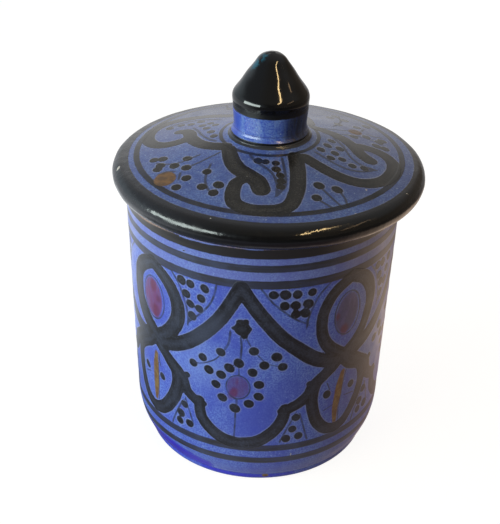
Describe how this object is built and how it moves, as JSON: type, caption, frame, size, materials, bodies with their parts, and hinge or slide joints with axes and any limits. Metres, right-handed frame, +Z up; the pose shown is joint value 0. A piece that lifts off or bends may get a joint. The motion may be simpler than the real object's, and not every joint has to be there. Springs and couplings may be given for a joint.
{
  "type": "lidded herb pot",
  "caption": "Straight-walled glazed earthenware pot with an overhanging rolled-rim lid and a pointed knob, for dried herbs.",
  "frame": {"origin": "on the pot's axis, on the plane that its foot stands on", "axes": "+Z up along the pot's axis, +X to the picture's right, +Y away from the picture's viewer"},
  "size_m": [0.1142, 0.1142, 0.1557],
  "materials": {
    "pot_glaze": "semi-gloss blue glaze with black painted ornament; foot and seat unglazed",
    "lid_glaze": "semi-gloss blue glaze with black painted ornament, glossy black rolled rim; underside unglazed at the seat",
    "knob_glaze": "glossy black glaze with a blue neck"
  },
  "bodies": {
    "pot": {"pot_body": "pot_glaze"},
    "lid": {"lid": "lid_glaze", "lid_knob": "knob_glaze"}
  },
  "joints": [
    {"name": "lid_lift", "type": "slide", "parent": "pot", "child": "lid", "axis": [0, 0, 1], "range_m": [0, 0.08]}
  ]
}
